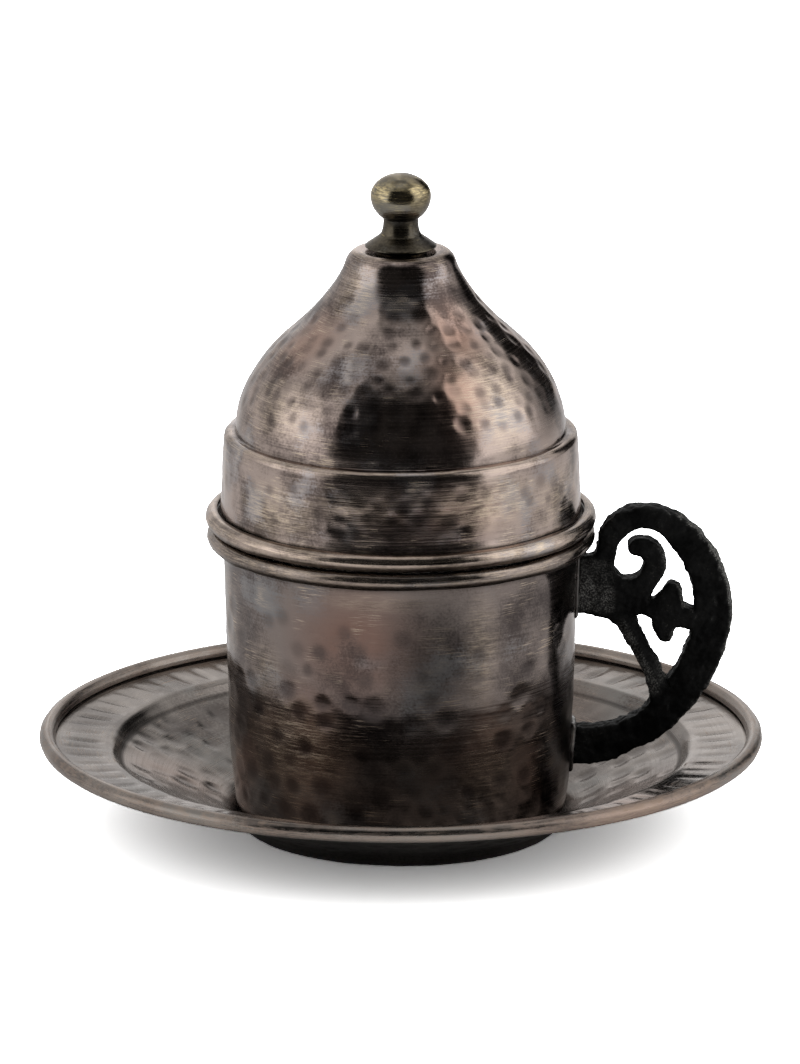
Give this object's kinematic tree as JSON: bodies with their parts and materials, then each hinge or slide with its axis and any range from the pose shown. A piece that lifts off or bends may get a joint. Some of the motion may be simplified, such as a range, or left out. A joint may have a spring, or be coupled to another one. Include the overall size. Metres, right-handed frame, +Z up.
{
  "type": "lidded turkish coffee cup set",
  "caption": "Lidded Turkish coffee cup: hammered copper holder with a black scroll handle, domed lid with a brass knob, loose porcelain cup and a fluted copper saucer.",
  "frame": {"origin": "centre of the underside of the saucer's flat foot", "axes": "+Z up along the axis of the set, +X towards the handle, +Y away from the viewer"},
  "size_m": [0.125, 0.125, 0.1153],
  "materials": {
    "saucer_copper": "hammered copper, darkened and brushed to a satin",
    "holder_copper": "hammered copper, darkened, semi-gloss, with brushed highlights",
    "lid_copper": "hammered copper, darkened, semi-gloss, with brushed highlights",
    "knob_brass": "turned brass, darkened, polished on its high parts",
    "handle_black": "rough black casting",
    "solder": "dull soft solder, blackened at its edge",
    "wire_steel": "drawn steel wire",
    "screw_steel": "zinc-plated steel",
    "porcelain": "white glaze with a thin gilt line under the lip"
  },
  "bodies": {
    "saucer": {"saucer_plate": "saucer_copper", "saucer_rim_wire": "wire_steel"},
    "holder": {"holder_shell": "holder_copper", "holder_rim_wire": "wire_steel", "handle": "handle_black", "upper_solder_joint": "solder", "lower_solder_joint": "solder"},
    "cup": {"porcelain_cup": "porcelain"},
    "lid": {"lid_shell": "lid_copper", "lid_rim_wire": "wire_steel", "lid_knob": "knob_brass", "knob_screw": "screw_steel", "knob_washer": "screw_steel"}
  },
  "joints": [
    {"name": "holder_lift", "type": "slide", "parent": "saucer", "child": "holder", "axis": [0, 0, 1], "range_m": [0, 0.06]},
    {"name": "cup_lift", "type": "slide", "parent": "holder", "child": "cup", "axis": [0, 0, 1], "range_m": [0, 0.07]},
    {"name": "lid_lift", "type": "slide", "parent": "cup", "child": "lid", "axis": [0, 0, 1], "range_m": [0, 0.06]}
  ]
}
